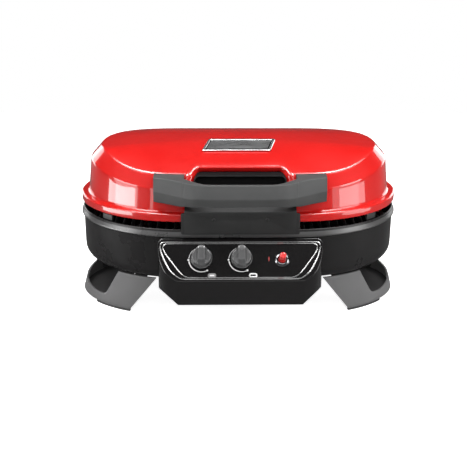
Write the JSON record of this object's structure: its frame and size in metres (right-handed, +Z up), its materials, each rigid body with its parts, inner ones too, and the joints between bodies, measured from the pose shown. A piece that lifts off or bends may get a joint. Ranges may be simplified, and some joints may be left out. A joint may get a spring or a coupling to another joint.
{
  "type": "portable tabletop gas grill",
  "caption": "Portable tabletop gas grill: domed hinged lid with grip, rounded firebox, grates, burners, sloped control housing with knobs and push igniter, curved legs.",
  "frame": {"origin": "centre of the overall bounding box, on the surface the four foot pads stand on", "axes": "+Z up, -Y out of the front of the grill (control knobs and lid grip), +X to the right seen from the front"},
  "size_m": [0.6506, 0.4052, 0.3236],
  "materials": {
    "red_enamel": "bright red gloss enamel on steel",
    "black_enamel": "semi-gloss black enamel on steel",
    "gloss_black": "high-gloss black moulded plastic",
    "black_plastic": "satin black heat-proof plastic",
    "grey_plastic": "fine matte mid-grey moulded plastic",
    "leg_plastic": "matte grey moulded plastic",
    "knob_plastic": "satin dark grey moulded plastic",
    "red_plastic": "red moulded plastic",
    "chrome": "polished chrome plate",
    "steel": "zinc-plated pressed steel",
    "burner_steel": "heat-darkened stainless tube",
    "cast_iron": "porcelain-coated cast iron",
    "brass": "machined brass",
    "aluminium": "satin cast metal plate",
    "rubber": "black rubber",
    "ceramic": "white glazed ceramic"
  },
  "bodies": {
    "grill_body": {"firebox_shell": "black_enamel", "drip_tray": "steel", "burner_outer": "burner_steel", "burner_inner": "burner_steel", "burner_support_left": "steel", "burner_support_right": "steel", "grate_left": "cast_iron", "grate_right": "cast_iron", "grate_rest_front": "steel", "grate_rest_back": "steel", "grate_rest_left": "steel", "grate_rest_right": "steel", "control_housing": "gloss_black", "valve_left": "brass", "valve_right": "brass", "ignitor_bezel": "chrome", "ignitor_body": "black_plastic", "electrode": "ceramic", "ignition_wire": "rubber", "gas_manifold": "steel", "gas_inlet_fitting": "brass", "leg_right": "leg_plastic", "leg_left": "leg_plastic", "foot_pad_front_left": "rubber", "foot_pad_front_right": "rubber", "foot_pad_back_left": "rubber", "foot_pad_back_right": "rubber", "leg_screw_front_left": "steel", "leg_screw_front_right": "steel", "leg_screw_back_left": "steel", "leg_screw_back_right": "steel", "hinge_base_left": "steel", "hinge_base_right": "steel", "hinge_pin_left": "steel", "hinge_pin_right": "steel", "lid_spacer_left": "grey_plastic", "lid_spacer_right": "grey_plastic"},
    "lid": {"lid_shell": "red_enamel", "handle_grip": "grey_plastic", "handle_bezel": "black_plastic", "bezel_screw_left": "steel", "bezel_screw_right": "steel", "handle_screw_left": "steel", "handle_screw_right": "steel", "nameplate": "aluminium", "hinge_leaf_left": "steel", "hinge_leaf_right": "steel"},
    "left_knob_push": {"return_collar_left": "steel"},
    "left_knob": {"knob_left": "knob_plastic", "valve_stem_left": "steel"},
    "right_knob_push": {"return_collar_right": "steel"},
    "right_knob": {"knob_right": "knob_plastic", "valve_stem_right": "steel"},
    "igniter_push": {"ignitor_button": "red_plastic"}
  },
  "joints": [
    {"name": "lid_hinge", "type": "hinge", "parent": "grill_body", "child": "lid", "pos_m": [0, 0.19662, 0.197], "axis": [-1, 0, 0], "range_deg": [0, 100]},
    {"name": "left_knob_press", "type": "slide", "parent": "grill_body", "child": "left_knob_push", "axis": [0, 0.7687, -0.6396], "range_m": [0, 0.003], "stiffness_N_per_m": 600, "springref_m": -0.002},
    {"name": "left_knob_turn", "type": "hinge", "parent": "left_knob_push", "child": "left_knob", "pos_m": [-0.073, -0.17151, 0.1435], "axis": [0, -0.7687, 0.6396], "range_deg": [0, 205]},
    {"name": "right_knob_press", "type": "slide", "parent": "grill_body", "child": "right_knob_push", "axis": [0, 0.7687, -0.6396], "range_m": [0, 0.003], "stiffness_N_per_m": 600, "springref_m": -0.002},
    {"name": "right_knob_turn", "type": "hinge", "parent": "right_knob_push", "child": "right_knob", "pos_m": [0.002, -0.17151, 0.1435], "axis": [0, -0.7687, 0.6396], "range_deg": [0, 205]},
    {"name": "igniter_press", "type": "slide", "parent": "grill_body", "child": "igniter_push", "axis": [0, 0.7687, -0.6396], "range_m": [0, 0.005], "stiffness_N_per_m": 800, "springref_m": -0.0015}
  ]
}
